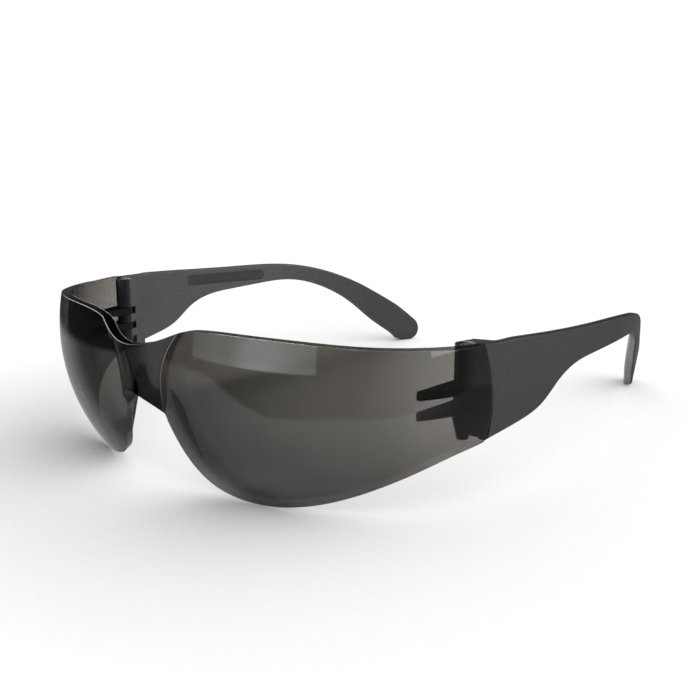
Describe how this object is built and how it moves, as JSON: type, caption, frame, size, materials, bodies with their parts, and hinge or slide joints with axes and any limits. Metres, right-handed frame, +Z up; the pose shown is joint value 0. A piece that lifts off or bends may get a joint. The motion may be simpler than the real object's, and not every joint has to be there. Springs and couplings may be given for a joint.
{
  "type": "safety glasses",
  "caption": "Wraparound safety glasses: one-piece smoke lens with a moulded nose bridge and two plain temples that fold on pinned hinges.",
  "frame": {"origin": "on the table, under the middle of the open glasses' bounding box", "axes": "+X to the wearer's left, -Y to the front (the way the wearer looks), +Z up"},
  "size_m": [0.1452, 0.1774, 0.0425],
  "materials": {
    "lens": "gloss",
    "temple": "fine matte texture",
    "hinge_pin": "satin"
  },
  "bodies": {
    "lens": {"lens": "lens"},
    "left_temple": {"left_temple": "temple", "left_hinge_pin": "hinge_pin"},
    "right_temple": {"right_temple": "temple", "right_hinge_pin": "hinge_pin"}
  },
  "joints": [
    {"name": "left_temple_fold", "type": "hinge", "parent": "lens", "child": "left_temple", "pos_m": [0.0649, -0.04236, 0.028], "axis": [0, 0, 1], "range_deg": [0, 86]},
    {"name": "right_temple_fold", "type": "hinge", "parent": "lens", "child": "right_temple", "pos_m": [-0.0649, -0.04236, 0.028], "axis": [0, 0, -1], "range_deg": [0, 80]}
  ]
}
